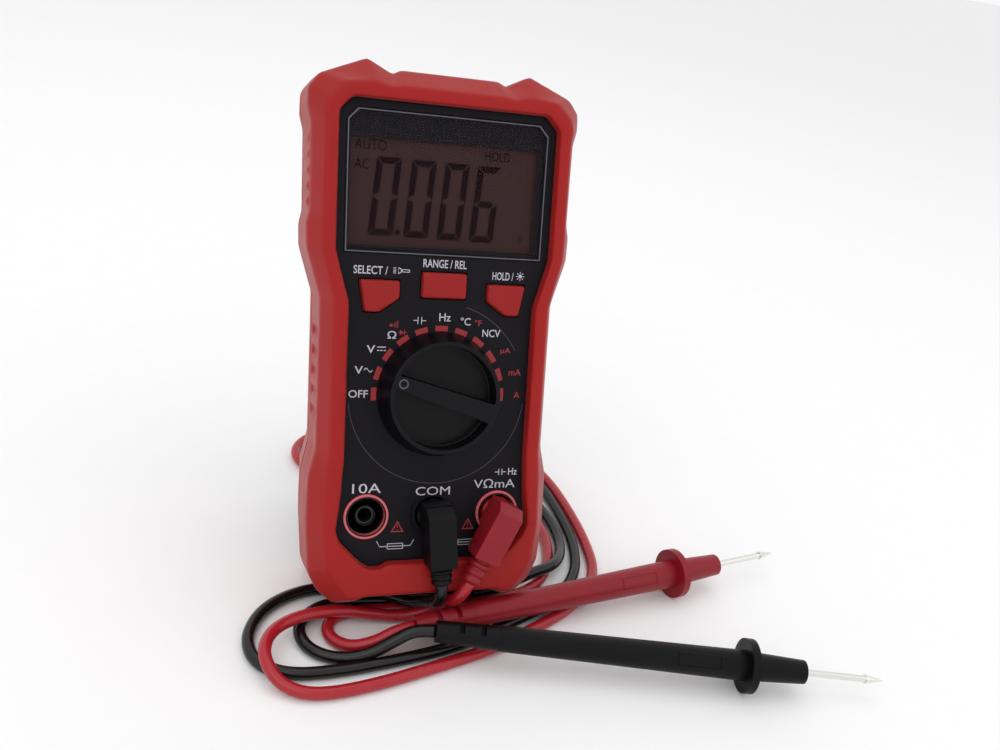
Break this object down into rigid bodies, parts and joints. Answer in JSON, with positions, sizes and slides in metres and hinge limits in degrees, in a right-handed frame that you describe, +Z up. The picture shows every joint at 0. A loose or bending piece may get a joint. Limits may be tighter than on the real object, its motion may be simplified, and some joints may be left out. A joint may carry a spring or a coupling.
{
  "type": "digital multimeter",
  "caption": "Hand-held digital multimeter in a soft rim, leaning on its back stand, with a rotary selector, press keys, input jacks and a pair of plugged-in test leads with probes.",
  "frame": {"origin": "on the floor, midway between the front and back of the meter on its middle plane", "axes": "+Z up, the meter faces -Y and leans back 20 degrees, +X to the right seen from its front"},
  "size_m": [0.1857, 0.1565, 0.1491],
  "materials": {
    "bearing_steel": "polished",
    "black_plastic": "moulded",
    "board": "green solder mask",
    "case_plastic": "fine satin moulding",
    "cell_jacket": "plain printed jacket",
    "ceramic": "glazed ceramic with plated caps",
    "component": "epoxy",
    "copper": "bare manganin",
    "cord_black": "glossy silicone",
    "cord_red": "glossy silicone",
    "display": "grey-brown liquid crystal panel",
    "fuse_glass": "clear tube",
    "gold_contact": "gold flash",
    "key_rubber": "satin",
    "knob_plastic": "satin moulding",
    "lead_black": "satin vinyl",
    "lead_red": "soft glossy vinyl",
    "lens": "clear",
    "light_guide": "polished light guide",
    "nickel": "nickel plate",
    "rim_rubber": "soft satin overmould",
    "ring_red": "moulded",
    "spring_brass": "bright",
    "steel": "zinc plated",
    "strip_rubber": "striped contact rubber",
    "white_plastic": "moulded",
    "window": "clear acrylic with a dark printed border"
  },
  "bodies": {
    "meter": {"backlight": "light_guide", "battery_contacts": "steel", "battery_door": "case_plastic", "battery_left": "cell_jacket", "battery_right": "cell_jacket", "black_jack_ring": "black_plastic", "black_lead": "cord_black", "black_probe_boot": "lead_black", "black_probe_handle": "lead_black", "black_probe_tip": "nickel", "board_components": "component", "board_screws": "steel", "buzzer": "black_plastic", "case_screws": "steel", "circuit_board": "board", "contact_strip": "strip_rubber", "current_shunt": "copper", "display_glass": "display", "display_holder": "white_plastic", "display_window": "window", "door_screw": "steel", "field_antenna": "spring_brass", "front_bumper": "rim_rubber", "front_case": "case_plastic", "fuse_10a": "ceramic", "fuse_clips": "spring_brass", "fuse_milliamp": "fuse_glass", "jack_sockets": "spring_brass", "jack_wells": "black_plastic", "key_switches": "black_plastic", "measuring_chip": "black_plastic", "rear_bumper": "rim_rubber", "rear_case": "case_plastic", "red_jack_rings": "ring_red", "red_lead": "cord_red", "red_probe_boot": "lead_red", "red_probe_handle": "lead_red", "red_probe_tip": "nickel", "switch_tracks": "gold_contact", "torch_lamp": "white_plastic", "torch_lens": "lens"},
    "selector": {"selector_knob": "knob_plastic", "selector_rotor": "white_plastic", "click_balls": "bearing_steel", "click_springs": "steel", "wiper_contacts": "spring_brass"},
    "select_button": {"select_key": "key_rubber"},
    "range_button": {"range_key": "key_rubber"},
    "hold_button": {"hold_key": "key_rubber"},
    "tilt_stand": {"stand": "case_plastic"},
    "red_plug_body": {"red_plug": "lead_red", "red_plug_pin": "nickel"},
    "black_plug_body": {"black_plug": "lead_black", "black_plug_pin": "nickel"}
  },
  "joints": [
    {"name": "selector_turn", "type": "hinge", "parent": "meter", "child": "selector", "pos_m": [0, -0.01945, 0.06703], "axis": [0, -0.9397, 0.342], "range_deg": [-162, 18]},
    {"name": "select_press", "type": "slide", "parent": "meter", "child": "select_button", "axis": [0, 0.9397, -0.342], "range_m": [0, 0.0005], "stiffness_N_per_m": 400, "springref_m": -0.0005},
    {"name": "range_press", "type": "slide", "parent": "meter", "child": "range_button", "axis": [0, 0.9397, -0.342], "range_m": [0, 0.0005], "stiffness_N_per_m": 400, "springref_m": -0.0005},
    {"name": "hold_press", "type": "slide", "parent": "meter", "child": "hold_button", "axis": [0, 0.9397, -0.342], "range_m": [0, 0.0005], "stiffness_N_per_m": 400, "springref_m": -0.0005},
    {"name": "stand_fold", "type": "hinge", "parent": "meter", "child": "tilt_stand", "pos_m": [0, 0.02097, 0.08424], "axis": [1, 0, 0], "range_deg": [-29, 0]},
    {"name": "red_plug_pull", "type": "slide", "parent": "meter", "child": "red_plug_body", "axis": [0, -0.9397, 0.342], "range_m": [0, 0.019]},
    {"name": "black_plug_pull", "type": "slide", "parent": "meter", "child": "black_plug_body", "axis": [0, -0.9397, 0.342], "range_m": [0, 0.019]}
  ]
}
